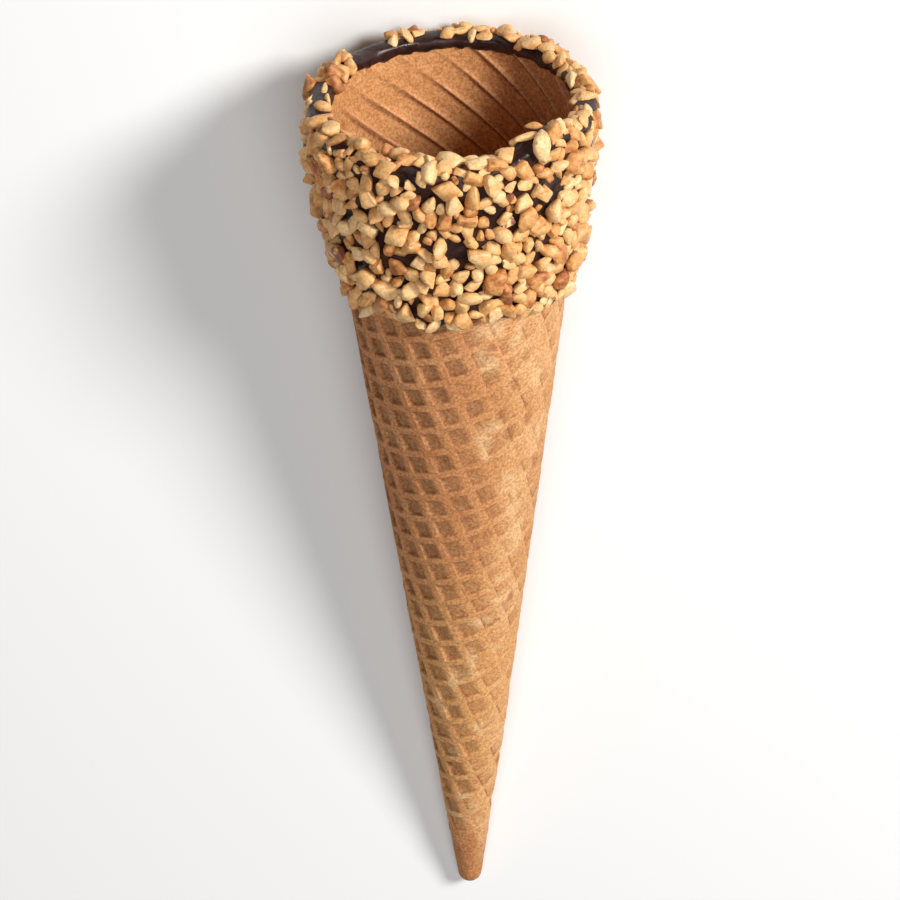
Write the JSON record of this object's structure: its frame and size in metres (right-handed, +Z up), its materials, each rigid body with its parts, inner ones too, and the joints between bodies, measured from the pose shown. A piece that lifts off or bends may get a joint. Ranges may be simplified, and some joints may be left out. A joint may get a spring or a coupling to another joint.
{
  "type": "ice cream cone",
  "caption": "Empty rolled waffle cone lying on its side, its rim dipped in dark chocolate and chopped nuts.",
  "frame": {"origin": "on the floor under the middle of the cone's length and width", "axes": "+Z up, the cone lies along Y with its mouth towards -Y and its tip towards +Y; its own axis rises 8.0 degrees towards the mouth, and the side shown in the picture faces up"},
  "size_m": [0.0489, 0.1678, 0.0486],
  "materials": {
    "baked_wafer": "dry baked wafer, golden brown, sandy grain with a pressed waffle pattern",
    "nut_coating": "roasted chopped nuts set in satin dark chocolate"
  },
  "bodies": {
    "root": {"waffle_cone": "baked_wafer", "nut_collar": "nut_coating"}
  },
  "joints": []
}
